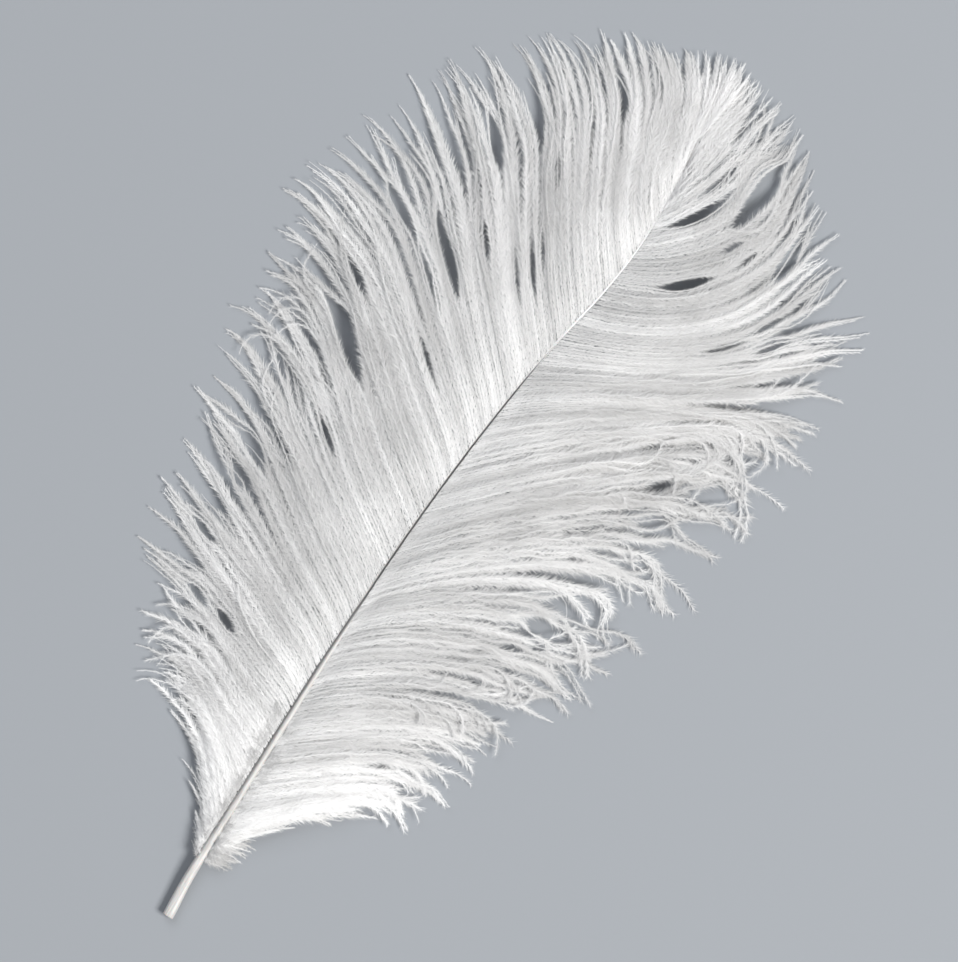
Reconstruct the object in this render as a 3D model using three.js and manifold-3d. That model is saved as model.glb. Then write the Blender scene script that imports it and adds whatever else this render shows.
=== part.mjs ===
// Ostrich plume lying on a table: one grown piece of keratin.
// The shaft runs along +Y from the cut quill end to the tip, the vane spreads along X,
// and the tips of the barbs touch the table at z = 0. Lengths are in millimetres.
import * as THREE from 'three';
import Module from 'manifold-3d';

// ---- shaft: distance from the quill end, sideways place, height of its axis, width, depth
const shaftRows = [
  [0, -1.0, 1.7, 3.4, 3.4],
  [3, -1.2, 1.75, 3.4, 3.4],
  [10, -1.7, 2.2, 2.9, 3.0],
  [20, -2.0, 3.2, 2.7, 2.9],
  [40, -2.1, 5.2, 2.4, 2.7],
  [62, -2.1, 7.0, 2.1, 2.5],
  [85, -1.9, 8.4, 1.8, 2.3],
  [110, -1.4, 9.3, 1.6, 2.1],
  [135, 0.0, 9.7, 1.5, 2.0],
  [168, 3.2, 9.4, 1.3, 1.8],
  [190, 6.3, 8.6, 1.2, 1.7],
  [207, 9.6, 7.4, 1.1, 1.6],
  [222, 11.3, 6.1, 1.0, 1.5],
  [238, 11.2, 4.5, 0.9, 1.3],
  [256, 9.5, 3.0, 0.8, 1.1],
  [264, 8.4, 2.4, 0.7, 0.8],
];
const shaftSides = 8;

// ---- barbs: root station on the shaft, length, then the angle away from the shaft
// direction at the root, at mid length and at the tip, in degrees
const leftBarbRows = [
  [20, 9, 30, 34, 50],
  [26, 48, 28, 56, 100],
  [38, 47, 30, 69, 100],
  [55, 51, 40, 80, 95],
  [75, 67, 44, 73, 85],
  [100, 78, 44, 65, 78],
  [125, 91, 42, 57, 88],
  [150, 91, 42, 54, 80],
  [175, 89, 40, 43, 72],
  [200, 76, 40, 35, 58],
  [225, 56, 34, 26, 54],
  [245, 38, 18, 19, 40],
  [258, 25, 8, 14, 16],
];
const rightBarbRows = [
  [19, 9, 38, 50, 62],
  [24, 22, 42, 52, 64],
  [29, 40, 44, 58, 74],
  [38, 51, 42, 65, 88],
  [60, 57, 42, 70, 90],
  [85, 68, 42, 73, 92],
  [108, 77, 40, 75, 96],
  [130, 85, 38, 71, 98],
  [152, 86, 40, 72, 84],
  [172, 87, 48, 69, 66],
  [188, 84, 58, 65, 50],
  [200, 76, 62, 60, 30],
  [212, 67, 62, 47, 8],
  [224, 53, 54, 33, 0],
  [236, 43, 34, 22, -2],
  [248, 32, 16, 9, 0],
  [258, 24, 6, -6, 4],
];

// ---- partings between neighbouring locks: station on the shaft, share of the barb length
// at which the two locks part, widest opening, reach of the lock that lies past the parting
const leftPartings = [
  [17, 0.3, 1.0, 1.0],
  [21, 0.35, 1.0, 0.9],
  [25, 0.4, 1.6, 0.84],
  [30, 0.45, 2.5, 1.0],
  [37, 0.5, 3.0, 0.96],
  [46, 0.5, 4.0, 1.04],
  [55, 0.6, 2.0, 1.02],
  [63, 0.5, 2.2, 1.06],
  [70, 0.75, 1.5, 0.99],
  [76, 0.6, 2.0, 1.04],
  [84, 0.8, 1.2, 1.02],
  [91, 0.78, 1.2, 1.0],
  [97, 0.55, 1.8, 1.02],
  [104, 0.8, 1.2, 1.0],
  [110, 0.5, 2.0, 1.01],
  [117, 0.8, 1.4, 1.0],
  [125, 0.42, 5.0, 1.0],
  [133, 0.62, 1.8, 1.01],
  [141, 0.78, 1.5, 1.02],
  [148, 0.8, 1.4, 1.0],
  [153, 0.55, 2.6, 1.0],
  [158, 0.38, 3.4, 0.99],
  [165, 0.7, 2.0, 1.0],
  [173, 0.68, 2.4, 1.0],
  [181, 0.55, 3.2, 1.0],
  [190, 0.75, 1.6, 1.01],
  [199, 0.78, 1.8, 1.0],
  [208, 0.72, 1.8, 0.99],
  [217, 0.62, 2.0, 1.0],
  [227, 0.7, 1.6, 1.0],
  [237, 0.65, 1.6, 1.02],
  [247, 0.5, 1.4, 1.0],
  [258, 0.4, 1.2, 1.0],
];
const rightPartings = [
  [17, 0.3, 1.0, 1.0],
  [21, 0.4, 1.0, 0.94],
  [26, 0.5, 1.6, 0.96],
  [31, 0.55, 2.0, 1.0],
  [39, 0.6, 2.5, 0.98],
  [48, 0.6, 3.2, 1.0],
  [57, 0.75, 1.8, 1.01],
  [65, 0.66, 3.2, 1.0],
  [73, 0.78, 1.6, 1.0],
  [80, 0.68, 3.0, 1.0],
  [88, 0.55, 2.2, 0.98],
  [97, 0.64, 2.4, 1.0],
  [107, 0.64, 3.6, 1.02],
  [115, 0.7, 4.0, 1.0],
  [123, 0.82, 1.6, 0.97],
  [132, 0.68, 2.2, 1.02],
  [141, 0.74, 3.2, 1.0],
  [149, 0.8, 1.4, 1.0],
  [156, 0.6, 3.0, 1.0],
  [164, 0.8, 1.4, 0.98],
  [172, 0.82, 1.2, 1.01],
  [180, 0.8, 1.4, 0.99],
  [188, 0.8, 1.6, 1.0],
  [195, 0.6, 2.8, 0.98],
  [203, 0.68, 3.6, 1.0],
  [212, 0.62, 3.0, 0.98],
  [221, 0.78, 1.8, 1.0],
  [229, 0.42, 5.0, 1.02],
  [237, 0.42, 2.4, 1.0],
  [247, 0.5, 2.0, 1.0],
  [258, 0.4, 1.2, 1.0],
];

const lockLayers = [0, 1.0, 0.3, 1.4, 0, 0.8]; // how far the tip of each lock lies over its neighbour
const barbRise = 3.4; // crown of the longest barbs above the line from the shaft to the table
const rootThickness = 1.2;
const fullThickness = 2.3;
const tipThickness = 0.55;
const flatFrom = 0.9; // share of the barb length past which the lock lies flat on the table
const shortestEdge = 0.2; // slivers left where locks cross are closed up to this size
const lockStops = [0, 0.07, 0.18, 0.31, 0.44, 0.56, 0.67, 0.77, 0.86, 0.93, 1];

const clamp = THREE.MathUtils.clamp;

// Value of one column of a table at a place given by the first column.
function valueAt(rows, place, column) {
  const last = rows.length - 1;
  if (place <= rows[0][0]) return rows[0][column];
  if (place >= rows[last][0]) return rows[last][column];
  let i = 0;
  while (rows[i + 1][0] < place) i += 1;
  const share = (place - rows[i][0]) / (rows[i + 1][0] - rows[i][0]);
  return rows[i][column] + share * (rows[i + 1][column] - rows[i][column]);
}

// Place on the barb that grows at a station, at a share of its length, seen from above.
function barbPlace(rows, side, station, share) {
  const length = valueAt(rows, station, 1);
  const root = THREE.MathUtils.degToRad(valueAt(rows, station, 2));
  const middle = THREE.MathUtils.degToRad(valueAt(rows, station, 3));
  const tip = THREE.MathUtils.degToRad(valueAt(rows, station, 4));
  const place = new THREE.Vector2(valueAt(shaftRows, station, 1), station);
  const steps = 24;
  for (let i = 0; i < steps; i += 1) {
    const t = ((i + 0.5) / steps) * share;
    const heading = root * (1 - t) * (1 - 2 * t) + middle * 4 * t * (1 - t) + tip * t * (2 * t - 1);
    place.x += (side * Math.sin(heading) * length * share) / steps;
    place.y += (Math.cos(heading) * length * share) / steps;
  }
  return place;
}

// Height of the underside of a lock: it leaves the shaft, arches, then lies down on the table.
function undersideHeight(rows, station, share, layer) {
  const t = clamp(share / flatFrom, 0, 1);
  const root = valueAt(shaftRows, station, 2) - 0.5 * rootThickness;
  const rise = barbRise * (valueAt(rows, station, 1) / 90);
  const down = 1 - t * t * (3 - 2 * t);
  const over = layer * Math.min(1, t / 0.2);
  return root * down + rise * Math.sin(Math.PI * Math.pow(t, 0.85)) + over;
}

function lockThickness(share) {
  const swell = clamp(share / 0.18, 0, 1);
  const thin = clamp((share - 0.18) / 0.82, 0, 1);
  return (rootThickness + (fullThickness - rootThickness) * swell) * (1 - thin) + tipThickness * thin;
}

// Station of one edge of a lock at a share of the barb length. Before the parting the edge
// runs under the neighbour; past it the edge pulls back and closes in on the tip.
function edgeStation(parting, centre, share) {
  const [station, starts, opening] = parting;
  const half = centre - station;
  if (share < starts) return station - 0.14 * half * Math.min(1, (starts - share) / 0.1);
  const q = (share - starts) / (1 - starts);
  const gap = (0.5 * opening * Math.sin(Math.PI * Math.sqrt(q))) / 4;
  return station + half * Math.min(0.94, 0.94 * Math.pow(q, 2.4) + gap);
}

// Closed mesh from rings of points with the same count, with a flat fan on each end.
function closedLoft(rings) {
  const count = rings[0].length;
  const points = rings.flat();
  const positions = points.flatMap((p) => [p.x, p.y, p.z]);
  const index = [];
  for (let i = 0; i < rings.length - 1; i += 1) {
    for (let j = 0; j < count; j += 1) {
      const a = i * count + j;
      const b = i * count + ((j + 1) % count);
      index.push(a, b, b + count, a, b + count, a + count);
    }
  }
  const end = (rings.length - 1) * count;
  for (let j = 1; j < count - 1; j += 1) {
    index.push(0, j + 1, j);
    index.push(end, end + j, end + j + 1);
  }
  const geometry = new THREE.BufferGeometry();
  geometry.setAttribute('position', new THREE.Float32BufferAttribute(positions, 3));
  geometry.setIndex(index);
  return geometry;
}

function shaftGeometry() {
  const rings = shaftRows.map(([y, x, z, width, depth]) => {
    const ring = [];
    for (let i = 0; i < shaftSides; i += 1) {
      const turn = ((i + 0.5) / shaftSides) * 2 * Math.PI;
      const round = 1 / Math.cos(Math.PI / shaftSides);
      const dx = 0.5 * width * round * Math.cos(turn);
      const dz = 0.5 * depth * round * Math.sin(turn);
      ring.push(new THREE.Vector3(x + dx, y, z - dz));
    }
    return ring;
  });
  return closedLoft(rings);
}

// A lock is roof shaped across: flat below from edge to edge, with one ridge above.
function lockGeometry(rows, side, lower, upper, layer) {
  const centre = 0.5 * (lower[0] + upper[0]);
  const reach = lower[3];
  const fromAbove = [2 * centre - upper[0], upper[1], upper[2]];
  const rings = lockStops.map((stop) => {
    const share = stop * reach;
    const low = edgeStation(lower, centre, stop);
    const high = 2 * centre - edgeStation(fromAbove, centre, stop);
    const bottom = undersideHeight(rows, centre, stop, layer);
    const top = bottom + lockThickness(stop);
    const a = barbPlace(rows, side, low, share);
    const b = barbPlace(rows, side, high, share);
    const c = barbPlace(rows, side, centre, share);
    const ring = [
      new THREE.Vector3(a.x, a.y, bottom),
      new THREE.Vector3(b.x, b.y, bottom),
      new THREE.Vector3(c.x, c.y, top),
    ];
    return side > 0 ? ring : ring.reverse();
  });
  return closedLoft(rings);
}

const wasm = await Module();
wasm.setup();

function solidFrom(geometry) {
  const vertProperties = new Float32Array(geometry.attributes.position.array);
  const triVerts = new Uint32Array(geometry.index.array);
  return new wasm.Manifold(new wasm.Mesh({ numProp: 3, vertProperties, triVerts }));
}

function fuseLocks(body, rows, side, partings, firstLayer) {
  let fused = body;
  for (let i = 0; i < partings.length - 1; i += 1) {
    const layer = lockLayers[(i + firstLayer) % lockLayers.length];
    const lock = lockGeometry(rows, side, partings[i], partings[i + 1], layer);
    fused = fused.add(solidFrom(lock));
  }
  return fused;
}

let plume = solidFrom(shaftGeometry());
plume = fuseLocks(plume, leftBarbRows, -1, leftPartings, 0);
plume = fuseLocks(plume, rightBarbRows, 1, rightPartings, 2);


// Pockets closed in between crossing locks are filled: only the outer skin is kept.
function outerSkin(solid) {
  return solid.decompose().reduce((most, part) => (part.volume() > most.volume() ? part : most));
}
plume = outerSkin(outerSkin(plume).simplify(shortestEdge));

const mesh = plume.getMesh();
const geometry = new THREE.BufferGeometry();
geometry.setAttribute('position', new THREE.BufferAttribute(mesh.vertProperties, 3));
geometry.setIndex(new THREE.BufferAttribute(mesh.triVerts, 1));
geometry.computeBoundingBox();
const box = geometry.boundingBox;
geometry.translate(-0.5 * (box.min.x + box.max.x), -0.5 * (box.min.y + box.max.y), -box.min.z);
geometry.computeVertexNormals();

const keratin = new THREE.MeshStandardMaterial({ color: 0xf1efec, roughness: 0.75, metalness: 0 });
const feather = new THREE.Mesh(geometry, keratin);
feather.name = 'feather';

const group = new THREE.Group();
group.name = 'ostrich_plume';
group.add(feather);

export default group;
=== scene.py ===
import math

import bpy
import numpy as np
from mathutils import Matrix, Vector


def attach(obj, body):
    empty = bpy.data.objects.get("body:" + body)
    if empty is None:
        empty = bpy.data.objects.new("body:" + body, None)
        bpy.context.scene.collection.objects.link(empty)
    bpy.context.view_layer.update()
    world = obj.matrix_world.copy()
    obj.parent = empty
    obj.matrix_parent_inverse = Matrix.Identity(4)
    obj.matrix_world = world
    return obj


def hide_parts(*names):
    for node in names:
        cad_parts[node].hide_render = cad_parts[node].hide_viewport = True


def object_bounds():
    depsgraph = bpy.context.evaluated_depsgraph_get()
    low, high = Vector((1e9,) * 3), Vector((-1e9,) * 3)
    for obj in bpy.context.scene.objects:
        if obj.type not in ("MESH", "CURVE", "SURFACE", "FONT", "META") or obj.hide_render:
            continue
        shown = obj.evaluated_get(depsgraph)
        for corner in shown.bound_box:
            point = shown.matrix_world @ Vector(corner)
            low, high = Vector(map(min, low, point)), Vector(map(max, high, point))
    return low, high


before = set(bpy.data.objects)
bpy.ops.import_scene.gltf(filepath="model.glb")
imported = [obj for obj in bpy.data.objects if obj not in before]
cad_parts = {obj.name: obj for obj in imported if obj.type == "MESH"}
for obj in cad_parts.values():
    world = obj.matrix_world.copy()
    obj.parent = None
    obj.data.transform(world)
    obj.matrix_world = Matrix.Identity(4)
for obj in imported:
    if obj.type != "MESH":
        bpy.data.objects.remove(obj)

cad_low, cad_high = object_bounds()

# ---------------------------------------------------------------- shaft and quill
# The real piece is one grown rod of keratin with a light foam core. Its bare lower end, the
# quill, is cut square. Above it the shaft thins, is grooved on its upper face and bends to
# the right near the tip. The barbs grow out of its two sides.

MM = 0.001
VANE_LEFT_OF_SHAFT = 76.58  # how far the vane reaches left of the line the quill starts from
SHAFT_END = 262.0
RING_STEP = 2.0
RING_POINTS = 32
RIM = 0.35  # how far the cut end's outer edge is rounded
SQUARENESS = 0.8  # 1 makes the shaft oval, less makes it boxier
GROOVE_WIDTH = 0.42  # as a share of half the shaft's width
PALE_FROM, PALE_TO = 150, 190  # stations between which the cream of the shaft turns white

# the cut end, from the floor of its hollow to its outer edge: place, and share of the full ring
MOUTH_ROWS = ((1.4, 0.5), (0.12, 0.62), (0.0, 0.7), (0.0, 0.93))

# distance from the quill end, sideways place, height of the axis, width, depth
SHAFT_ROWS = np.array([
    [0, -1.0, 1.7, 3.2, 3.2],
    [3, -1.2, 1.75, 3.2, 3.2],
    [10, -1.7, 2.2, 2.9, 3.0],
    [20, -1.85, 3.2, 2.6, 2.9],
    [40, -1.75, 5.2, 2.2, 2.7],
    [62, -1.7, 7.0, 1.9, 2.5],
    [85, -1.6, 8.4, 1.65, 2.3],
    [110, -1.2, 9.3, 1.4, 2.1],
    [135, 0.1, 9.7, 1.25, 2.0],
    [168, 3.2, 9.4, 1.1, 1.8],
    [190, 6.3, 8.6, 0.95, 1.6],
    [207, 9.6, 7.4, 0.8, 1.4],
    [222, 11.3, 6.1, 0.65, 1.1],
    [238, 11.2, 4.5, 0.5, 0.8],
    [256, 9.5, 3.0, 0.3, 0.5],
    [264, 8.4, 2.4, 0.2, 0.3],
])

# distance from the quill end, where the groove runs across the shaft (-1 is its left side),
# groove depth as a share of the shaft's depth, and how dark the painted shade in the groove is
GROOVE_ROWS = np.array([
    [0, -0.7, 0.0, 0.0],
    [17, -0.7, 0.0, 0.0],
    [26, -0.7, 0.10, 0.35],
    [78, -0.65, 0.14, 0.45],
    [92, -0.4, 0.18, 0.85],
    [106, 0.0, 0.22, 1.0],
    [172, 0.0, 0.22, 1.0],
    [188, 0.0, 0.10, 0.25],
    [200, 0.0, 0.0, 0.0],
    [264, 0.0, 0.0, 0.0],
])


def follow(rows, place, column):
    """Smooth value of one column of a table, at places measured along its first column."""
    at, value = rows[:, 0], rows[:, column]
    slope = np.gradient(value, at)
    place = np.clip(place, at[0], at[-1])
    i = np.clip(np.searchsorted(at, place, side="right") - 1, 0, len(at) - 2)
    span = at[i + 1] - at[i]
    t = (place - at[i]) / span
    from_left = (1 + 2 * t) * (1 - t) ** 2 * value[i] + t * (1 - t) ** 2 * span * slope[i]
    from_right = t * t * (3 - 2 * t) * value[i + 1] + t * t * (t - 1) * span * slope[i + 1]
    return from_left + from_right


def between(rows, place, column):
    """Value of one column of a table, on straight lines between its rows."""
    return np.interp(place, rows[:, 0], rows[:, column])


def laid_down(points):
    """Points in millimetres from the quill end, put where the frame has the feather, in metres."""
    origin = np.array([cad_low[0] + VANE_LEFT_OF_SHAFT * MM, cad_low[1], 0.0])
    return np.asarray(points, dtype=float) * MM + origin


def linear(hex_colour):
    """An sRGB hex colour as the linear colour that a shader takes."""
    parts = [int(hex_colour[i:i + 2], 16) / 255 for i in (1, 3, 5)]
    return [c / 12.92 if c <= 0.04045 else ((c + 0.055) / 1.055) ** 2.4 for c in parts] + [1.0]


def add_node(tree, kind, inputs=None, **settings):
    """Adds a node, sets its own settings, then sets or links its inputs by name or number."""
    node = tree.nodes.new(kind)
    for name, value in settings.items():
        setattr(node, name, value)
    for key, value in (inputs or {}).items():
        if isinstance(value, bpy.types.NodeSocket):
            tree.links.new(value, node.inputs[key])
        else:
            node.inputs[key].default_value = value
    return node


def maths(tree, operation, *values):
    """What comes out of a math node that takes these values, each a number or a socket."""
    return add_node(tree, "ShaderNodeMath", dict(enumerate(values)), operation=operation).outputs[0]


def shaft_ring(y, size=1.0):
    """One ring of the shaft, an oval with a groove in its upper face, and how much painted shade each point
    takes.
    """
    x, z, width, depth = (float(follow(SHAFT_ROWS, y, c)) for c in (1, 2, 3, 4))
    groove, sunk, dark = (float(between(GROOVE_ROWS, y, c)) for c in (1, 2, 3))
    ring = []
    for turn in np.arange(RING_POINTS) / RING_POINTS * 2 * math.pi:
        across, up = math.cos(turn), math.sin(turn)
        side = math.copysign(abs(across) ** SQUARENESS, across) * 0.5 * width * size
        rise = math.copysign(abs(up) ** SQUARENESS, up) * 0.5 * depth * size
        near = math.exp(-(((across - groove) / GROOVE_WIDTH) ** 2)) if up > 0 else 0.0
        ring.append((x + side, y, z + rise - sunk * depth * near, dark * near))
    return ring


rings = [shaft_ring(y, size) for y, size in MOUTH_ROWS]
rings += [shaft_ring(y) for y in np.arange(RIM, SHAFT_END, RING_STEP)]
points = [p[:3] for ring in rings for p in ring]
groove_shade = [p[3] for ring in rings for p in ring]
pallor = [min(1.0, max(0.0, (p[1] - PALE_FROM) / (PALE_TO - PALE_FROM))) for p in points]
faces = []
for i in range(len(rings) - 1):
    for j in range(RING_POINTS):
        a, b = i * RING_POINTS + j, i * RING_POINTS + (j + 1) % RING_POINTS
        faces.append((a, b, b + RING_POINTS, a + RING_POINTS))
faces.append(tuple(reversed(range(RING_POINTS))))
last_ring = (len(rings) - 1) * RING_POINTS
faces.append(tuple(range(last_ring, last_ring + RING_POINTS)))

shaft_mesh = bpy.data.meshes.new("shaft")
shaft_mesh.from_pydata(laid_down(points).tolist(), [], faces)
shaft_mesh.flip_normals()
shaft_mesh.attributes.new("groove_shade", "FLOAT", "POINT").data.foreach_set("value", groove_shade)
shaft_mesh.attributes.new("pallor", "FLOAT", "POINT").data.foreach_set("value", pallor)
for polygon in shaft_mesh.polygons:
    polygon.use_smooth = len(polygon.vertices) == 4

# Keratin of the shaft: grown, washed and bleached. Cream white, with a low natural gloss and
# faint streaks that run along it, because it is laid down in fibres. The streaks are about 0.4 mm
# wide and 17 mm long.
shaft_keratin = bpy.data.materials.new("shaft_keratin")
shaft_keratin.use_nodes = True
tree = shaft_keratin.node_tree
tree.nodes.clear()
place = add_node(tree, "ShaderNodeTexCoord")
stretched = add_node(tree, "ShaderNodeMapping", {
    "Vector": place.outputs["Object"], "Scale": (2600, 60, 2600),
})
streaks = add_node(tree, "ShaderNodeTexNoise", {
    "Vector": stretched.outputs[0], "Scale": 1.0, "Detail": 4.0,
})
tint = add_node(tree, "ShaderNodeValToRGB", {"Fac": streaks.outputs["Fac"]})
tint.color_ramp.elements[0].position, tint.color_ramp.elements[0].color = 0.3, linear("#A9A8A6")
tint.color_ramp.elements[1].position, tint.color_ramp.elements[1].color = 0.7, linear("#C9C8C6")
paled = add_node(tree, "ShaderNodeAttribute", attribute_name="pallor")
whitened = add_node(tree, "ShaderNodeMix", {
    0: paled.outputs["Fac"], 6: tint.outputs["Color"], 7: linear("#D2D2D2"),
}, data_type="RGBA")
# painted shade: the groove is darkened toward near black where it lies in shade, along the left side of the
# lower shaft and down the middle higher up
shaded = add_node(tree, "ShaderNodeAttribute", attribute_name="groove_shade")
darkened = add_node(tree, "ShaderNodeMix", {
    0: shaded.outputs["Fac"], 6: whitened.outputs[2], 7: linear("#29282A"),
}, data_type="RGBA")
fine = add_node(tree, "ShaderNodeBump", {
    "Height": streaks.outputs["Fac"], "Strength": 0.25, "Distance": 0.0001,
})
gloss = add_node(tree, "ShaderNodeMapRange", {0: streaks.outputs["Fac"], 3: 0.38, 4: 0.52})
skin = add_node(tree, "ShaderNodeBsdfPrincipled", {
    "Base Color": darkened.outputs[2], "Roughness": gloss.outputs[0], "IOR": 1.54,
    "Normal": fine.outputs["Normal"], "Subsurface Weight": 0.15, "Subsurface Scale": 0.001,
})
add_node(tree, "ShaderNodeOutputMaterial", {"Surface": skin.outputs[0]})

shaft = bpy.data.objects.new("shaft", shaft_mesh)
bpy.context.scene.collection.objects.link(shaft)
shaft_mesh.materials.append(shaft_keratin)
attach(shaft, "root")
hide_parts("feather")

# ---------------------------------------------------------------- barbs of the two vanes
# Several hundred barbs grow out of each side of the shaft. Each is a hair-thin tapering rod of
# keratin that carries soft barbules on both sides. An ostrich's barbules have no hooks, so the
# barbs don't zip into a blade: they lie together in locks that part toward the edge.

# root station on the shaft, length, the angle away from the shaft at root, middle and tip, and how
# much farther the last third turns outward, all angles to the nearest five degrees
LEFT_BARB_ROWS = np.array([
    [17, 7, 35, 40, 50, 0],
    [20, 12, 35, 40, 55, 0],
    [26, 43, 35, 50, 110, -20],
    [38, 51, 50, 60, 120, -20],
    [55, 53, 60, 75, 115, -20],
    [75, 69, 55, 70, 100, -15],
    [100, 80, 50, 60, 90, -5],
    [125, 88, 50, 55, 95, 0],
    [150, 95, 40, 55, 95, -5],
    [175, 91, 40, 40, 85, -10],
    [200, 79, 35, 35, 80, -10],
    [225, 57, 40, 25, 85, -15],
    [245, 35, 30, 15, 65, -15],
    [262, 19, 10, 10, 25, -10],
])
RIGHT_BARB_ROWS = np.array([
    [16, 7, 40, 50, 60, 0],
    [19, 9, 40, 45, 50, 0],
    [24, 44, 45, 45, 65, 5],
    [38, 53, 55, 55, 90, 5],
    [60, 61, 50, 60, 90, 0],
    [85, 74, 40, 70, 80, 0],
    [108, 92, 40, 55, 80, 15],
    [130, 101, 45, 50, 80, 15],
    [152, 92, 45, 55, 65, 20],
    [172, 90, 55, 60, 45, 25],
    [188, 86, 70, 50, 10, 30],
    [200, 79, 75, 35, -25, 25],
    [212, 69, 70, 30, -35, 20],
    [224, 56, 55, 20, -10, 5],
    [236, 43, 30, 10, 5, -10],
    [248, 32, 10, 10, 0, -10],
    [262, 18, 5, 0, -10, 0],
])

# station, then how far apart the pointed tips of the locks are there on the left and on the right,
# measured along the shaft between the barbs that end in them
LOCK_ROWS = np.array([
    [18, 2.0, 2.0],
    [35, 3.4, 3.2],
    [90, 4.2, 2.8],
    [125, 4.6, 3.2],
    [185, 4.6, 3.0],
    [212, 4.2, 4.6],
    [235, 3.4, 3.2],
    [260, 3.4, 3.0],
])

# lens-shaped openings between locks: station, share of the length where each starts and ends,
# width, and how far it leans toward the feather's tip, both measured along the shaft
LEFT_OPENINGS = np.array([
    [33, 0.66, 1.30, 2.2, 0.0],
    [41, 0.58, 0.93, 2.2, -1.0],
    [47, 0.68, 1.30, 2.6, 0.0],
    [53, 0.74, 1.30, 2.0, 0.0],
    [58, 0.60, 0.80, 1.3, 0.5],
    [64, 0.43, 0.60, 1.6, 0.0],
    [65, 0.61, 0.76, 1.3, 0.4],
    [75, 0.66, 0.82, 1.8, 1.0],
    [86, 0.65, 0.77, 1.4, 0.5],
    [92.5, 0.61, 0.80, 2.2, 3.0],
    [97, 0.54, 0.72, 1.4, 0.3],
    [108.5, 0.40, 0.58, 2.0, 0.0],
    [111.5, 0.40, 0.56, 1.2, 0.0],
    [125.5, 0.46, 0.76, 4.4, 4.0],
    [136.5, 0.62, 0.78, 2.0, 0.5],
    [143.5, 0.22, 0.46, 1.1, -0.8],
    [147.5, 0.36, 0.58, 1.5, 2.0],
    [151.5, 0.38, 0.64, 1.4, 1.5],
    [153.5, 0.60, 0.80, 2.0, 1.5],
    [157.5, 0.36, 0.66, 2.2, 1.5],
    [159.5, 0.66, 0.82, 1.5, 0.8],
    [162, 0.44, 0.62, 1.3, 0.0],
    [167.5, 0.38, 0.58, 1.3, 0.4],
    [169, 0.58, 0.72, 1.3, 0.8],
    [175, 0.20, 0.43, 1.2, -0.6],
    [176, 0.62, 0.84, 2.2, 4.0],
    [180.5, 0.18, 0.42, 1.5, -1.0],
    [184.5, 0.24, 0.40, 1.0, -0.6],
    [188, 0.64, 0.84, 1.6, 2.4],
    [191, 0.45, 0.60, 1.6, 0.8],
    [211, 0.45, 0.58, 1.3, 0.3],
    [215, 0.62, 0.86, 1.8, -1.0],
])
RIGHT_OPENINGS = np.array([
    [46, 0.74, 1.30, 2.0, 2.0],
    [59, 0.80, 1.30, 1.8, 0.4],
    [76, 0.84, 1.30, 1.8, -1.0],
    [84.5, 0.50, 0.61, 1.5, 0.2],
    [86.5, 0.80, 0.97, 1.6, -1.7],
    [90.5, 0.66, 0.76, 1.4, -0.4],
    [92.5, 0.61, 0.70, 1.4, -0.8],
    [94.5, 0.68, 0.79, 2.0, -0.8],
    [97.5, 0.62, 0.92, 3.4, -0.5],
    [100.5, 0.82, 0.97, 3.0, 0.0],
    [105, 0.78, 0.88, 1.3, -0.9],
    [114.5, 0.70, 0.84, 3.0, -0.3],
    [118, 0.80, 0.94, 3.4, 0.4],
    [121, 0.77, 0.85, 1.3, -1.0],
    [129.5, 0.70, 0.86, 3.0, -1.0],
    [165.5, 0.82, 0.95, 1.6, 0.5],
    [185.5, 0.62, 0.76, 2.2, 1.0],
    [189, 0.45, 0.60, 1.3, 0.8],
    [190.5, 0.61, 0.71, 1.5, 0.6],
    [200.5, 0.66, 0.86, 3.6, 0.8],
    [211, 0.16, 0.40, 2.4, 0.8],
    [212.5, 0.45, 0.62, 1.2, 0.4],
    [216.5, 0.38, 0.52, 1.2, 0.4],
    [221.5, 0.44, 0.84, 7.5, 1.0],
    [227, 0.08, 0.53, 2.2, 0.0],
    [229, 0.84, 1.30, 1.8, 0.0],
    [231.5, 0.22, 0.62, 1.8, 0.5],
    [233.5, 0.56, 0.92, 3.0, 0.8],
    [236.5, 0.26, 0.62, 2.2, -0.8],
    [238, 0.79, 1.30, 2.0, 0.4],
    [242.5, 0.48, 0.77, 2.8, -1.5],
    [248, 0.66, 1.30, 2.8, 0.0],
])

# station, then for the left and the right vane: how unruly the ends of the barbs are, the share of
# the barbs that stop short of the edge, and the share of the length at which the locks part
UNREST_ROWS = np.array([
    [15, 0.5, 0.5, 0.0, 0.0, 0.70, 0.60],
    [22, 0.7, 0.7, 0.4, 0.2, 0.62, 0.66],
    [30, 0.9, 0.9, 0.75, 0.35, 0.58, 0.66],
    [42, 0.9, 1.0, 0.6, 0.35, 0.60, 0.68],
    [58, 0.7, 1.0, 0.25, 0.25, 0.78, 0.74],
    [75, 0.6, 0.95, 0.1, 0.2, 0.84, 0.80],
    [95, 0.6, 1.1, 0.08, 0.15, 0.80, 0.82],
    [120, 0.7, 1.2, 0.06, 0.12, 0.68, 0.82],
    [150, 0.5, 1.05, 0.05, 0.1, 0.57, 0.76],
    [170, 0.4, 0.8, 0.05, 0.05, 0.62, 0.72],
    [190, 0.3, 0.6, 0.05, 0.05, 0.72, 0.66],
    [210, 0.3, 0.45, 0.05, 0.05, 0.88, 0.56],
    [230, 0.3, 0.4, 0.05, 0.05, 0.92, 0.44],
    [262, 0.3, 0.4, 0.05, 0.05, 0.80, 0.50],
])

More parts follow.
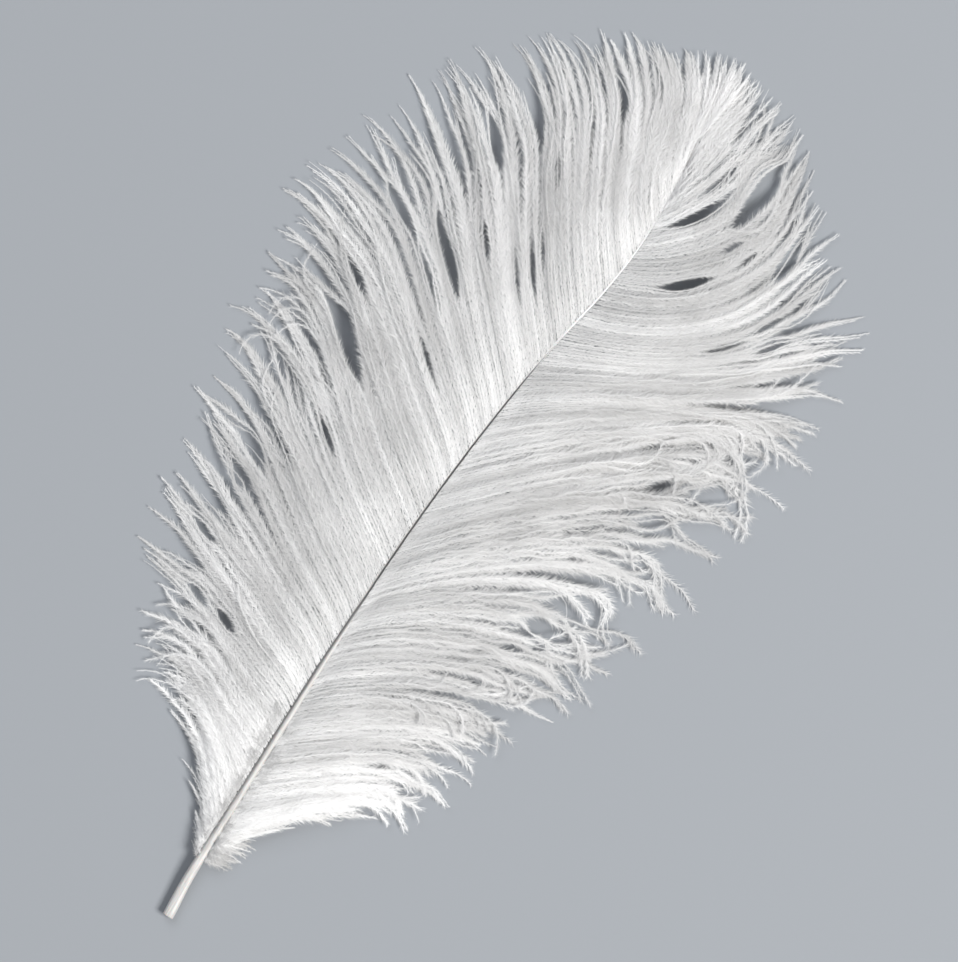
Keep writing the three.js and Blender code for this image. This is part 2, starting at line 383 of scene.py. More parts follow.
# station, then how far the left vane bows toward the feather's tip in mid length and at its edge
BOW_ROWS = np.array([
    [15, 0.0, 0.0],
    [50, -1.5, 1.5],
    [90, -2.2, 3.2],
    [150, -3.2, 4.5],
    [180, -3.0, 4.0],
    [208, -3.0, 3.0],
    [226, -3.0, 2.0],
    [240, -2.0, 1.0],
    [262, 0.0, 0.0],
])
SWAYS = ((11.0, 0.2), (19.0, 0.4), (33.0, 0.7))  # length along the shaft and height of slow waves

# station, how far left and right of the shaft's axis the barbs leave it, and how high up its side
ROOT_ROWS = np.array([
    [17, -1.25, 1.1, 0.0],
    [24, -1.15, 0.85, 0.1],
    [40, -1.0, 0.7, 0.2],
    [80, -0.9, 0.55, 0.25],
    [94, -0.6, 0.35, 0.4],
    [110, -0.36, 0.36, 0.5],
    [165, -0.3, 0.3, 0.5],
    [178, -0.22, 0.2, 0.5],
    [190, -0.24, 0.2, 0.38],
    [226, -0.18, 0.18, 0.38],
    [236, -0.06, 0.06, 0.5],
    [264, 0.0, 0.0, 0.5],
])

FIRST_BARB, LAST_BARB = 18.0, 262.0
BARB_RISE, RISE_LENGTH = 3.4, 90  # how far the crown rises above the slope to the table, at what length
FLAT_FROM = 0.9  # share of the length from which a barb lies on the table
LEAST_HEIGHT = 0.25  # of a barb's centre line above the table
TABLE_GAP = 0.04  # between the table and what lies on it
BARB_SPACING, ROOT_JITTER = 0.43, 0.25  # between roots along the shaft, and how far each strays
BARB_POINTS = 24
BARB_SHARES = 1 - (1 - np.linspace(0, 1, BARB_POINTS)) ** 1.3  # closer together toward the tip
BARB_ROOT_RADIUS, BARB_TIP_RADIUS = 0.09, 0.03
WISP_WIDTH = 1.05  # width of shaft that feeds one wisp of barbs
STRAND_WIDTH = 2.4  # width of lock that makes one strand of wisps
MOST_STRANDS = 16  # more than any lock has
FIRST_TIP, LAST_TIP = 19.0, 258.0
TIP_JITTER = (0.65, 1.35)  # the shares of its row's spacing that a lock may take
LOCKS_FROM, LOCKS_TO = 14.0, 265.0
LOOSE_SHARE = 0.09  # share of the barbs that keep to no strand
BARBULE_SPACING = 0.112  # along a barb
BARBULE_LENGTH = 2.8
BARBULE_WIDTH = 0.14
BARBULE_SWEEP = 26  # degrees away from the barb
BARBULE_FLARE = 0.3  # how far up or down, as a share of how far along
STATION_STEP = 0.5
SHARE_STEP = 0.02
FIELD_STATIONS = np.arange(14.0, 266.5, STATION_STEP)
FIELD_SHARES = np.arange(0, 1.2501, SHARE_STEP)


def eased(value, start, end):
    """Smooth step from 0 at start to 1 at end."""
    t = np.clip((value - start) / (end - start), 0, 1)
    return t * t * (3 - 2 * t)


def vane_field(rows, side):
    """Places on every barb, seen from above, on a grid of station and share."""
    stations = FIELD_STATIONS
    length = follow(rows, stations, 1)[:, None]
    root, middle, tip = (np.radians(follow(rows, stations, c))[:, None] for c in (2, 3, 4))
    hook = np.radians(follow(rows, stations, 5))[:, None]
    t = (FIELD_SHARES[:-1] + SHARE_STEP / 2)[None, :]
    heading = root * (1 - t) * (1 - 2 * t) + middle * 4 * t * (1 - t) + tip * t * (2 * t - 1)
    heading = heading + hook * eased(t, 0.7, 1.05)
    zero = np.zeros((len(stations), 1))
    x = np.hstack([zero, np.cumsum(side * np.sin(heading) * length * SHARE_STEP, axis=1)])
    y = np.hstack([zero, np.cumsum(np.cos(heading) * length * SHARE_STEP, axis=1)])
    return np.stack([x + follow(SHAFT_ROWS, stations, 1)[:, None], y + stations[:, None]], axis=2)


def vane_place(field, station, share):
    """Place in the field at any station and share of the barb's length."""
    u = np.clip((station - FIELD_STATIONS[0]) / STATION_STEP, 0, field.shape[0] - 1.001)
    v = np.clip(share / SHARE_STEP, 0, field.shape[1] - 1.001)
    i, j = u.astype(int), v.astype(int)
    fu, fv = (u - i)[..., None], (v - j)[..., None]
    low = field[i, j] * (1 - fv) + field[i, j + 1] * fv
    high = field[i + 1, j] * (1 - fv) + field[i + 1, j + 1] * fv
    return low * (1 - fu) + high * fu


def wave(t, turns, phase):
    """A sine wave with a number of turns over the length of a barb."""
    return np.sin(2 * math.pi * (t * turns + phase))


def lock_tips(column, seed):
    """Stations of the barbs at whose tips the locks of one vane end, no two the same way apart."""
    rng = np.random.default_rng(seed)
    tips = [FIRST_TIP]
    while tips[-1] < LAST_TIP:
        apart = between(LOCK_ROWS, tips[-1], column)
        tips.append(tips[-1] + apart * rng.uniform(*TIP_JITTER))
    return np.array(tips)


def opened(u, centre, share, openings, luck):
    """Stations with the wisps beside each opening pushed apart, and how bare its rims are."""
    bared = np.zeros_like(u)
    for middle, start, end, width, lean in openings:
        q = np.clip((share - start) / (end - start), 0, 1)
        half_way = np.argmin(np.abs(share - (start + end) / 2), axis=1)[:, None]
        way = np.where(np.take_along_axis(centre, half_way, 1) > middle, 1.0, -1.0)
        half = (0.5 * width + 0.25) * np.sin(math.pi * q) ** 0.9
        room = np.maximum(3.0, 2.4 * half)
        off = way * (u - middle - lean * (q - 0.5))
        pushed = half + np.maximum(off, 0) * (room - half) / room
        pushed += np.minimum(off, 0) * (1 - np.minimum(1, half / 0.4))
        close = (off < room) & (q > 0) & ((luck > 0.07) | (start < 0.3))
        rim = np.minimum(1, half) * np.exp(-((pushed - half) / 0.9) ** 2)
        bared = np.maximum(bared, np.where(close, rim, 0))
        u = np.where(close, middle + lean * (q - 0.5) + way * pushed, u)
    return u, bared


def grow_barbs(rows, openings, side, seed):
    """Centre lines of one vane's barbs, with the thickness and fluff of each along its length."""
    rng = np.random.default_rng(seed)
    column = 1 if side < 0 else 2
    tips = lock_tips(column, seed + 10)
    field = vane_field(rows, side)
    station = np.arange(FIRST_BARB, LAST_BARB, BARB_SPACING)
    station = station + rng.uniform(-ROOT_JITTER, ROOT_JITTER, len(station))
    count = len(station)
    t = BARB_SHARES[None, :]
    unrest = between(UNREST_ROWS, station, column)[:, None]
    short_share = between(UNREST_ROWS, station, column + 2)
    part = between(UNREST_ROWS, station, column + 4)[:, None]

    # a few barbs run side by side as a wisp, a few wisps make a strand, and a few strands make a
    # lock that ends in one tip
    wisp = np.floor(station / WISP_WIDTH).astype(int)
    wisp_middle = (wisp + 0.5) * WISP_WIDTH
    wisp_luck = rng.random((wisp.max() + 1, 4))[wisp]
    edges = np.concatenate([[LOCKS_FROM], (tips[1:] + tips[:-1]) / 2, [LOCKS_TO]])
    lock = np.clip(np.searchsorted(edges, wisp_middle, side="right") - 1, 0, len(tips) - 1)
    low, high, tip = edges[lock], edges[lock + 1], tips[lock]
    strands = np.maximum(1, np.round((high - low) / STRAND_WIDTH)).astype(int)
    strand = np.clip(((wisp_middle - low) / (high - low) * strands).astype(int), 0, strands - 1)
    strand_width = (high - low) / strands
    strand_middle = low + (strand + 0.5) * strand_width
    lock_luck = rng.random((len(tips), 8))[lock]
    key = lock * MOST_STRANDS + strand
    of_strand = {k: rng.random(12) for k in np.unique(key)}
    luck = np.array([of_strand[k] for k in key])
    own = rng.random((count, 10))
    loose = (own[:, 0] < LOOSE_SHARE)[:, None]

    # each is drawn together more and more toward its end
    beside = (station - wisp_middle)[:, None]
    in_strand = (wisp_middle - strand_middle)[:, None]
    tightness = (0.42 if side < 0 else 0.36) + 0.14 * np.clip(unrest - 0.6, 0, 1)
    drawn = 0.18 * eased(t, 0.1 + 0.3 * luck[:, :1], 0.6) + tightness * eased(t, part, 1.0)
    together = 0.28 * eased(t, 0.0, 0.1) + 0.27 * eased(t, 0.15, 0.45) + 0.33 * eased(t, part, 1.0)
    wisped = np.where(loose, 0.2, together)
    u = strand_middle[:, None] + in_strand * (1 - drawn * ~loose)
    aim = tip + (strand_middle - tip) * 0.4 + (luck[:, 1] - 0.5) * 1.6
    slack = 0.04 + 0.12 * lock_luck[:, :1]
    closing = slack * eased(t, part - 0.1, part + 0.25)
    closing += (0.86 - slack) * eased(t, 0.5 + 0.5 * part, 1.06) ** 1.2
    u = u + (aim - strand_middle)[:, None] * closing * np.where(loose, 0.3, 1.0)

    # the middle of a lock reaches farthest, its sides stop short of the tip
    length = follow(rows, station, 1)
    uneven = np.clip(unrest[:, 0], 0.45, 0.75)
    aside = np.clip(np.abs(wisp_middle - tip) / (0.5 * (high - low)), 0, 1)
    short_by = 0.06 * lock_luck[:, 1] + 0.10 * luck[:, 2] ** 1.6 + 0.06 * wisp_luck[:, 3]
    short_by += 0.07 * own[:, 1] ** 2
    reach = 1.04 + 0.08 * np.clip(unrest[:, 0] - 0.6, 0, 0.5) - uneven * short_by - 0.19 * aside ** 2
    reach *= np.where(own[:, 8] < short_share, 0.58 + 0.3 * own[:, 9], 1.0)
    share = t * reach[:, None]

    # the left vane bows and both sway, which crowds the strands here and thins them there
    if side < 0:
        bow, lean = (between(BOW_ROWS, station, c)[:, None] for c in (1, 2))
        u = u + bow * np.sin(math.pi * np.clip(share / 0.7, 0, 1)) ** 1.5
        u = u + lean * eased(share, 0.55, 1.0)
    for wave_length, wave_height in SWAYS:
        phase = strand_middle[:, None] / wave_length + rng.uniform(-0.8, 0.8) * share + rng.random()
        u = u + wave_height * np.sin(2 * math.pi * phase) * eased(share, 0.1, 0.7)
    centre = u
    u = u + beside * (1 - wisped)

    u, bared = opened(u, centre, share, openings, luck[:, 10:11])
    flat = vane_place(field, u, share)
    root_away = between(ROOT_ROWS, station, column)[:, None]
    flat[..., 0] += root_away * (1 - eased(share, 0, 0.09))

    # locks wander slowly, strands and barbs a little more, and the ends turn and curl
    step = np.diff(flat, axis=1, prepend=flat[:, :1] - (flat[:, 1:2] - flat[:, :1]))
    turn = 0.12 * (0.5 + unrest) * (lock_luck[:, 2:3] - 0.5) * wave(t, 1.1, lock_luck[:, 3:4])
    turn += 0.15 * (0.8 + 0.6 * unrest) * (luck[:, 3:4] - 0.5) * wave(t, 0.9 + luck[:, 4:5], luck[:, 5:6])
    turn += 0.3 * unrest * (luck[:, 8:9] - 0.5) * wave(t, 4, luck[:, 5:6]) * eased(t, 0.5, 0.8)
    turn += (0.14 + 0.08 * unrest) * (wisp_luck[:, 2:3] - 0.5) * wave(t, 1.5, wisp_luck[:, 3:4])
    turn += np.where(loose, 0.4, 0.06) * (own[:, 2:3] - 0.5) * wave(t, 1.7, own[:, 3:4])
    turn *= eased(t, 0.25, 0.75)
    woolly = np.clip(unrest - 0.5, 0, 0.7) * eased(t, 0.1, 0.35)
    turn += 0.9 * woolly * (wisp_luck[:, 2:3] - 0.5) * wave(t, 6, wisp_luck[:, 3:4])
    mingled = eased(station, 222, 250)[:, None]
    turn += 0.5 * mingled * (own[:, 2:3] - 0.55) * side
    curl = (luck[:, 6:7] - 0.48) * 1.4 * unrest ** 1.5 * eased(t, 0.66 + 0.2 * luck[:, 7:8], 1.02)
    curl += (lock_luck[:, 4:5] - 0.4) * 0.5 * unrest * eased(t, 0.7, 1.02)
    stray = (luck[:, 11:12] < 0.14) & (unrest > 0.75) | (own[:, 4:5] < 0.05) & (unrest > 0.6)
    stray &= station[:, None] > 45
    strayed = (0.8 + 1.0 * luck[:, 7:8]) * np.sign(luck[:, 6:7] - 0.4)
    curl = np.where(stray, strayed * eased(t, 0.7 + 0.15 * luck[:, 7:8], 1.0), curl)
    turn += side * curl + 0.08 * (own[:, 4:5] - 0.5) * eased(t, 0.72, 1.0)
    turn += (0.25 + 1.8 * np.clip(unrest - 0.6, 0, 0.8)) * (wisp_luck[:, 1:2] - 0.5) * eased(t, 0.7, 1.0)
    c, s = np.cos(turn), np.sin(turn)
    step = np.stack([step[..., 0] * c + step[..., 1] * s, step[..., 1] * c - step[..., 0] * s], axis=2)
    flat = np.cumsum(step, axis=1) - step[:, :1] + flat[:, :1]

    # height: out of the shaft, over the crown of the vane, and down onto the table
    w = np.clip(share / FLAT_FROM, 0, 1)
    axis_height, depth = (follow(SHAFT_ROWS, station, c)[:, None] for c in (2, 4))
    down = 1 - w * w * (3 - 2 * w)
    lifted = 0.5 * (1 - np.clip(length / 30, 0, 1))[:, None]
    under = (axis_height - 0.6) * (down + lifted * (1 - down))
    under = under + BARB_RISE * (length[:, None] / RISE_LENGTH) * np.sin(math.pi * w ** 0.85)
    thick = 1.2 + 1.1 * np.clip(share / 0.18, 0, 1)
    thick = thick * (1 - np.clip((share - 0.18) / 0.82, 0, 1)) + 0.45
    outer = eased(t, 0.3, 0.75)
    crown = 1 - (in_strand / (0.5 * strand_width[:, None])) ** 2
    level = 0.3 + 0.1 * own[:, 5:6] + 0.3 * crown * outer + 0.35 * luck[:, 8:9] * (0.3 + 0.7 * outer)
    height = under + thick * level
    height += thick * (0.3 * wisp_luck[:, :1] - 0.6 * (beside / WISP_WIDTH) ** 2) * (1 - 0.6 * outer)
    height += (0.7 * lock_luck[:, 5:6] + 0.5 * luck[:, 9:10] + 0.7 * loose + 1.2 * stray) * outer
    side_height = axis_height + between(ROOT_ROWS, station, 3)[:, None] * depth
    height += (side_height + 0.15 * own[:, 6:7] - height) * (1 - eased(share, 0, 0.08))
    height = np.maximum(height, LEAST_HEIGHT)

    path = np.concatenate([flat, height[..., None]], axis=2)
    radius = BARB_ROOT_RADIUS + (BARB_TIP_RADIUS - BARB_ROOT_RADIUS) * t ** 0.8
    radius = np.repeat(radius, count, axis=0) * (0.85 + 0.3 * own[:, 7:8])
    soft = np.clip(unrest - 0.4, 0, 0.7)
    tip_fluff = 0.16 + 0.8 * soft
    fluff = 0.6 + 0.12 * eased(share, 0.0, 0.07) + 0.28 * eased(share, 0.12, 0.42)
    fluff = fluff + (0.2 * soft - 0.15) * eased(t, 0.5, 0.85)
    fluff = fluff * (1 - (1 - tip_fluff) * eased(t, 0.86, 1.0)) * np.where(stray, 0.85, 1.0)
    fluff = fluff * (0.85 + 0.3 * luck[:, 9:10]) * np.where(loose, 0.5, 1.0) * (1 - 0.7 * bared)
    fluff *= np.clip(length / 40, 0.5, 1.0)[:, None]
    # tone that differs at random from barb to barb, with painted shade: barbs at the sides of each strand
    # are painted darker, as the shade between strands
    tone_and_painted_light = 0.3 * luck[:, 0:1] + 0.2 * own[:, 6:7] + 0.3 * wisp_luck[:, 1:2] + 0.2 * crown
    # painted light: the vane is painted lighter near the shaft, more so on the left, and lighter again near
    # the foot and the tip of the feather
    tone_and_painted_light = tone_and_painted_light + (0.32 if side < 0 else 0.16) * (1 - eased(share, 0.05, 0.35))
    tone_and_painted_light = tone_and_painted_light + (0.44 * (1 - eased(station, 25, 75)) + 0.22 * eased(station, 210, 250))[:, None]
    folded = 0.35 - 0.5 * np.clip(unrest - 0.6, 0, 0.8)
    sweep = 0.8 + 0.25 * eased(t, 0.1, 0.5) - folded * eased(t, 0.4, 1.0)
    return dict(station=station, path=path, radius=radius, fluff=fluff, tone_and_painted_light=tone_and_painted_light, sweep=sweep)


# station, then length and angle away from the shaft of the down on the left and on the right
DOWN_ROWS = np.array([
    [16.5, 3, 34, 6, 72],
    [20, 6, 38, 8, 66],
    [26, 11, 38, 10, 56],
    [34, 16, 42, 14, 50],
    [50, 24, 50, 22, 48],
    [62, 26, 55, 24, 50],
])
DOWN_COUNT = 180
DOWN_START, DOWN_REACH = 18.0, 44.0
DOWN_ROOT_RADIUS, DOWN_TAPER = 0.07, 0.045


def grow_down(side, seed):
    """Short soft barbs at the foot of one vane, which hide where the long ones begin."""
    rng = np.random.default_rng(seed)
    station = np.sort(DOWN_START + DOWN_REACH * rng.random(DOWN_COUNT) ** 1.25)
    column = 1 if side < 0 else 3
    length = between(DOWN_ROWS, station, column) * rng.uniform(0.65, 1.1, DOWN_COUNT)
    angle = np.radians(between(DOWN_ROWS, station, column + 1))[:, None]
    t = BARB_SHARES[None, :]
    luck = rng.random((DOWN_COUNT, 8))
    heading = angle + 0.3 * (luck[:, :1] - 0.5) + (1.6 * luck[:, 1:2] - 0.5) * 0.5 * t ** 1.5
    heading = heading + 0.3 * (luck[:, 2:3] - 0.5) * wave(t, 1.5, luck[:, 3:4])
    step = length[:, None] / (BARB_POINTS - 1)
    x = np.cumsum(side * np.sin(heading) * step, axis=1)
    y = np.cumsum(np.cos(heading) * step, axis=1)
    away = between(ROOT_ROWS, station, 1 if side < 0 else 2)
    x += (follow(SHAFT_ROWS, station, 1) + away * 0.9)[:, None]
    y += station[:, None]
    root, depth = (follow(SHAFT_ROWS, station, c)[:, None] for c in (2, 4))
    height = (root + depth * (0.45 * luck[:, 4:5] - 0.2)) * (1 - eased(t, 0, 1.2)) + 0.4
    height = height + 1.6 * luck[:, 5:6] * np.sin(math.pi * t ** 0.8)
    path = np.stack([x, y, height], axis=2)
    radius = np.repeat(DOWN_ROOT_RADIUS - DOWN_TAPER * t, DOWN_COUNT, axis=0)
    fluff = (0.7 + 0.4 * luck[:, 6:7]) * (1 - 0.6 * eased(t, 0.5, 1.0))
    fluff = fluff * np.clip(length / 9, 0.5, 1)[:, None]
    tone_and_painted_light = np.repeat(luck[:, 7:8], BARB_POINTS, axis=1)
    sweep = np.repeat(1.25 - 0.55 * t, DOWN_COUNT, axis=0)
    return dict(station=station, path=path, radius=radius, fluff=fluff, tone_and_painted_light=tone_and_painted_light, sweep=sweep)


def barbule_tree():
    """Node tree that turns centre lines into tapering barbs and sets soft barbules along them."""
    tree = bpy.data.node_groups.new("grow_barbules", "GeometryNodeTree")
    face = tree.interface
    face.new_socket("Geometry", in_out="INPUT", socket_type="NodeSocketGeometry")
    for name, kind in (
        ("Barbule spacing", "NodeSocketFloat"),
        ("Barbule length", "NodeSocketFloat"),
        ("Barbule width", "NodeSocketFloat"),
        ("Sweep", "NodeSocketFloat"),
        ("Flare", "NodeSocketFloat"),
        ("Seed", "NodeSocketInt"),
        ("Keratin", "NodeSocketMaterial"),
    ):
        face.new_socket(name, in_out="INPUT", socket_type=kind)
    face.new_socket("Geometry", in_out="OUTPUT", socket_type="NodeSocketGeometry")
    given = add_node(tree, "NodeGroupInput").outputs

    def attribute(name):
        read = add_node(tree, "GeometryNodeInputNamedAttribute", {"Name": name}, data_type="FLOAT")
        return read.outputs[0]

    def random(low, high, extra):
        seed = maths(tree, "ADD", given["Seed"], float(extra))
        drawn = add_node(tree, "FunctionNodeRandomValue", {2: low, 3: high, "Seed": seed})
        return drawn.outputs[1]

    def product(a, b):
        return maths(tree, "MULTIPLY", a, b)

    def sum_of(a, b):
        return add_node(tree, "ShaderNodeVectorMath", {0: a.outputs[0], 1: b.outputs[0]}, operation="ADD")

    lines = add_node(tree, "GeometryNodeMeshToCurve", {"Mesh": given["Geometry"]}).outputs[0]

    # the barb itself, three sided because it is thinner than a hair
    circle = add_node(tree, "GeometryNodeCurvePrimitiveCircle", {"Resolution": 3, "Radius": 1.0})
    rod = add_node(tree, "GeometryNodeCurveToMesh", {
        "Curve": lines, "Profile Curve": circle.outputs[0], "Scale": attribute("radius"), "Fill Caps": True,
    })

    # one barbule: a long thin triangle with its root at the origin and its tip one unit along X
    cut = add_node(tree, "GeometryNodeMeshCircle", {"Vertices": 3, "Radius": 1.0}, fill_type="NGON")
    blade = add_node(tree, "GeometryNodeTransform", {
        "Geometry": cut.outputs[0], "Translation": (1 / 3, 0, 0), "Scale": (2 / 3, 1 / math.sqrt(3), 1),
    })

    # direction of each barbule: forward along the barb, then out to one side, a little up or down
    roots = add_node(tree, "GeometryNodeCurveToPoints", {
        "Curve": lines, "Length": given["Barbule spacing"],
    }, mode="LENGTH")
    ahead = roots.outputs["Tangent"]
    cross = add_node(tree, "ShaderNodeVectorMath", {0: ahead, 1: (0, 0, 1)}, operation="CROSS_PRODUCT")
    out = add_node(tree, "ShaderNodeVectorMath", {0: cross.outputs[0]}, operation="NORMALIZE").outputs[0]
    which = maths(tree, "GREATER_THAN", random(-1.0, 1.0, 1), 0.0)
    sign = maths(tree, "MULTIPLY_ADD", which, 2.0, -1.0)
    angle = product(product(given["Sweep"], attribute("sweep")), random(0.2, 2.1, 2))
    forward = maths(tree, "COSINE", angle)
    sideways = product(maths(tree, "SINE", angle), sign)
    flare = product(given["Flare"], random(-1.0, 1.0, 3))
    part_a = add_node(tree, "ShaderNodeVectorMath", {0: ahead, "Scale": forward}, operation="SCALE")
    part_b = add_node(tree, "ShaderNodeVectorMath", {0: out, "Scale": sideways}, operation="SCALE")
    part_c = add_node(tree, "ShaderNodeCombineXYZ", {"Z": flare})
    heading = sum_of(sum_of(part_a, part_b), part_c)
    lean = add_node(tree, "ShaderNodeCombineXYZ", {
        "X": random(-0.5, 0.5, 4), "Y": random(-0.5, 0.5, 5), "Z": 1.0,
    })
    turned = add_node(tree, "FunctionNodeAxesToRotation", {
        "Primary Axis": heading.outputs[0], "Secondary Axis": lean.outputs[0],
    }, primary_axis="X", secondary_axis="Z")
    long = product(product(given["Barbule length"], attribute("fluff")), random(0.5, 1.2, 6))
    wide = product(given["Barbule width"], maths(tree, "MULTIPLY_ADD", attribute("fluff"), 0.5, 0.5))
    size = add_node(tree, "ShaderNodeCombineXYZ", {"X": long, "Y": wide, "Z": 1.0})
    set_on = add_node(tree, "GeometryNodeInstanceOnPoints", {
        "Points": roots.outputs["Points"], "Instance": blade.outputs[0],
        "Rotation": turned.outputs[0], "Scale": size.outputs[0],
    })

    marked = add_node(tree, "GeometryNodeStoreNamedAttribute", {
        "Geometry": rod.outputs[0], "Name": "rod", "Value": 1.0,
    }, data_type="FLOAT", domain="POINT")
    joined = add_node(tree, "GeometryNodeJoinGeometry")
    tree.links.new(marked.outputs[0], joined.inputs[0])
    tree.links.new(set_on.outputs[0], joined.inputs[0])
    real = add_node(tree, "GeometryNodeRealizeInstances", {0: joined.outputs[0]})
    dressed = add_node(tree, "GeometryNodeSetMaterial", {0: real.outputs[0], "Material": given["Keratin"]})
    add_node(tree, "NodeGroupOutput", {0: dressed.outputs[0]})
    return tree


# Keratin of the vane: grown, washed and bleached. Matt white and a little see-through, so the
# light that falls on one barbule glows in the next, and no two barbs are quite as pale. On top of
# that its tone holds painted shade between the strands and painted light near the shaft, at the
# foot and at the tip, and the rods are painted lighter than the barbules as a painted highlight.
barb_keratin = bpy.data.materials.new("barb_keratin")
barb_keratin.use_nodes = True
tree = barb_keratin.node_tree
tree.nodes.clear()
tone_and_painted_light = add_node(tree, "ShaderNodeAttribute", attribute_name="tone_and_painted_light")
place = add_node(tree, "ShaderNodeTexCoord")
patches = add_node(tree, "ShaderNodeTexNoise", {
    "Vector": place.outputs["Object"], "Scale": 60.0, "Detail": 3.0,
})
shifted = maths(tree, "MULTIPLY_ADD", tone_and_painted_light.outputs["Fac"], 0.8, -0.17)
mixed = maths(tree, "MULTIPLY_ADD", patches.outputs["Fac"], 0.55, shifted)
# painted highlight: the barbs' own rods are painted lighter than their barbules, as if lit while the
# barbules lie in shade
rod = add_node(tree, "ShaderNodeAttribute", attribute_name="rod")
lit = maths(tree, "MULTIPLY_ADD", rod.outputs["Fac"], 0.15, mixed)
pale = add_node(tree, "ShaderNodeValToRGB", {"Fac": lit})
pale.color_ramp.elements[0].position, pale.color_ramp.elements[0].color = 0.2, linear("#C6C6C6")
pale.color_ramp.elements[1].position, pale.color_ramp.elements[1].color = 1.0, linear("#FAFAFA")
matt = add_node(tree, "ShaderNodeBsdfPrincipled", {
    "Base Color": pale.outputs["Color"], "Roughness": 0.6, "IOR": 1.54, "Specular IOR Level": 0.3,
})
through = add_node(tree, "ShaderNodeBsdfTranslucent", {"Color": pale.outputs["Color"]})
skin = add_node(tree, "ShaderNodeMixShader", {0: 0.28, 1: matt.outputs[0], 2: through.outputs[0]})
add_node(tree, "ShaderNodeOutputMaterial", {"Surface": skin.outputs[0]})

barbules = barbule_tree()


def plant(name, barbs, first, last, seed):
    """One piece of a vane: the barbs whose roots lie between two stations, with their barbules."""
    picked = (barbs["station"] >= first) & (barbs["station"] < last)
    path = barbs["path"][picked]
    count, steps = path.shape[:2]
    mesh = bpy.data.meshes.new(name + "_lines")
    start = (np.arange(count) * steps)[:, None] + np.arange(steps - 1)[None, :]
    edges = np.stack([start.ravel(), start.ravel() + 1], axis=1)
    mesh.from_pydata(laid_down(path.reshape(-1, 3)).tolist(), edges.tolist(), [])
    values = {
        "radius": barbs["radius"][picked] * MM,
        "fluff": barbs["fluff"][picked],
        "tone_and_painted_light": barbs["tone_and_painted_light"][picked],
        "sweep": barbs["sweep"][picked],
    }
    for key, value in values.items():
        held = mesh.attributes.new(key, "FLOAT", "POINT").data
        held.foreach_set("value", value.ravel().astype(np.float32))
    lines = bpy.data.objects.new(name + "_lines", mesh)
    bpy.context.scene.collection.objects.link(lines)
    grown = lines.modifiers.new("grow_barbules", "NODES")
    grown.node_group = barbules
    wanted = {
        "Barbule spacing": BARBULE_SPACING * MM,
        "Barbule length": BARBULE_LENGTH * MM,
        "Barbule width": BARBULE_WIDTH * MM,
        "Sweep": math.radians(BARBULE_SWEEP),
        "Flare": BARBULE_FLARE,
        "Seed": seed,
        "Keratin": barb_keratin,
    }
    for item in barbules.interface.items_tree:
        if item.item_type == "SOCKET" and item.in_out == "INPUT" and item.name in wanted:
            grown[item.identifier] = wanted[item.name]
    bpy.context.view_layer.update()
    ready = bpy.data.meshes.new_from_object(lines.evaluated_get(bpy.context.evaluated_depsgraph_get()))
    lines.modifiers.remove(grown)
    bpy.data.objects.remove(lines)

    # whatever would sink through the table lies down on it
    place = np.empty(len(ready.vertices) * 3)
    ready.vertices.foreach_get("co", place)
    place = place.reshape(-1, 3)
    place[:, 2] = np.maximum(place[:, 2], TABLE_GAP * MM)
    ready.vertices.foreach_set("co", place.ravel())
    ready.name = name
    piece = bpy.data.objects.new(name, ready)
    bpy.context.scene.collection.objects.link(piece)
    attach(piece, "root")
    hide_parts("feather")


left_barbs = grow_barbs(LEFT_BARB_ROWS, LEFT_OPENINGS, -1, 11)
right_barbs = grow_barbs(RIGHT_BARB_ROWS, RIGHT_OPENINGS, 1, 12)
for barbs, down in ((left_barbs, grow_down(-1, 13)), (right_barbs, grow_down(1, 14))):
    for key in barbs:
        barbs[key] = np.concatenate([barbs[key], down[key]])
VANE_STRETCHES = (("base", 16, 78), ("lower", 78, 124), ("upper", 124, 172), ("tip", 172, 264))
for number, (part, first, last) in enumerate(VANE_STRETCHES):
    plant("left_vane_" + part, left_barbs, first, last, 100 + number * 10)
    plant("right_vane_" + part, right_barbs, first, last, 200 + number * 10)

# ---------------------------------------------------------------- table, light and camera
# The feather lies on a plain pale table under one large soft light and a weak fill.

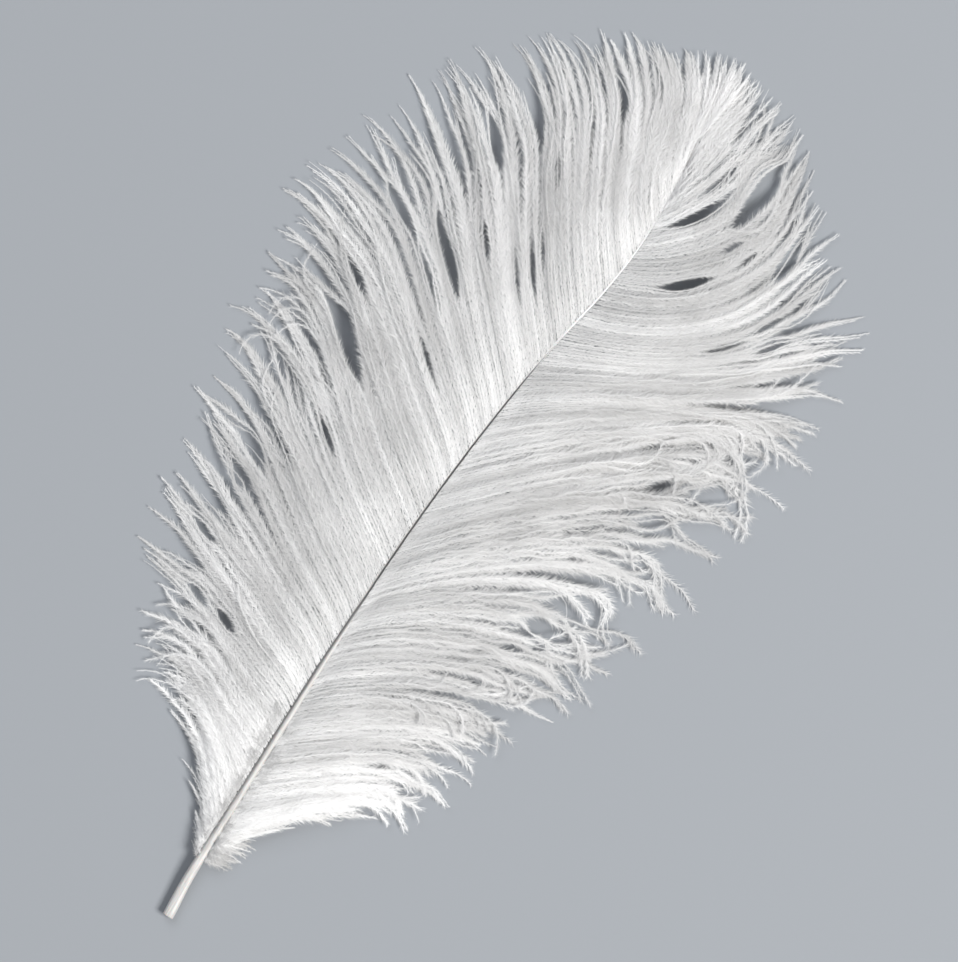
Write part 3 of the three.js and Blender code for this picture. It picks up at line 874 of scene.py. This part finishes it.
HALF = 3.0  # metres from the table's middle to its edges
table_mesh = bpy.data.meshes.new("table")
corners = [(-HALF, -HALF, 0), (HALF, -HALF, 0), (HALF, HALF, 0), (-HALF, HALF, 0)]
table_mesh.from_pydata(corners, [], [(0, 1, 2, 3)])
table = bpy.data.objects.new("table", table_mesh)
bpy.context.scene.collection.objects.link(table)
table_paint = bpy.data.materials.new("matt_painted_board")
table_paint.use_nodes = True
paint = table_paint.node_tree.nodes["Principled BSDF"]
paint.inputs["Base Color"].default_value = linear("#8B8F94")
paint.inputs["Roughness"].default_value = 0.9
table_mesh.materials.append(table_paint)


def soft_light(name, place, aim, size, power, colour):
    """A large square lamp at a place, turned to face a point."""
    lamp = bpy.data.lights.new(name, "AREA")
    lamp.shape, lamp.size, lamp.energy = "SQUARE", size, power
    lamp.color = linear(colour)[:3]
    holder = bpy.data.objects.new(name, lamp)
    bpy.context.scene.collection.objects.link(holder)
    toward = np.array(aim, dtype=float) - np.array(place, dtype=float)
    flat = math.hypot(toward[0], toward[1])
    holder.location = place
    tilt = math.atan2(flat, -toward[2])
    holder.rotation_euler = (tilt, 0, math.atan2(toward[1], toward[0]) - math.pi / 2)


soft_light("key_light", (1.75, 0.1, 2.15), (0, 0, 0), 1.0, 104, "#FFFDFA")
soft_light("fill_light", (-1.6, 1.0, 2.2), (0, 0, 0), 2.0, 34, "#F6F9FF")
sky = bpy.data.worlds.new("studio")
sky.use_nodes = True
sky.node_tree.nodes["Background"].inputs["Color"].default_value = linear("#F2F4F7")
sky.node_tree.nodes["Background"].inputs["Strength"].default_value = 0.35
bpy.context.scene.world = sky
bpy.context.scene.view_settings.view_transform = "Standard"

FRAME_WIDTH = 260.4  # millimetres that the picture takes in from side to side, at the vane's level
VANE_LEVEL = 6.0
CAMERA_HEIGHT = 2000.0
PICTURE_MIDDLE = (8.1, 145.5, 0.0)
SENSOR_WIDTH = 36.0
ROLL = 32.0  # the feather leans 58 degrees above the picture's lower edge
lens = bpy.data.cameras.new("camera")
lens.sensor_fit, lens.sensor_width = "HORIZONTAL", SENSOR_WIDTH
lens.lens = SENSOR_WIDTH * (CAMERA_HEIGHT - VANE_LEVEL) / FRAME_WIDTH
lens.clip_start, lens.clip_end = 0.05, 50
camera = bpy.data.objects.new("camera", lens)
bpy.context.scene.collection.objects.link(camera)
middle = laid_down([PICTURE_MIDDLE])[0]
camera.location = (middle[0], middle[1], CAMERA_HEIGHT * MM)
camera.rotation_euler = (0, 0, math.radians(ROLL))
bpy.context.scene.camera = camera
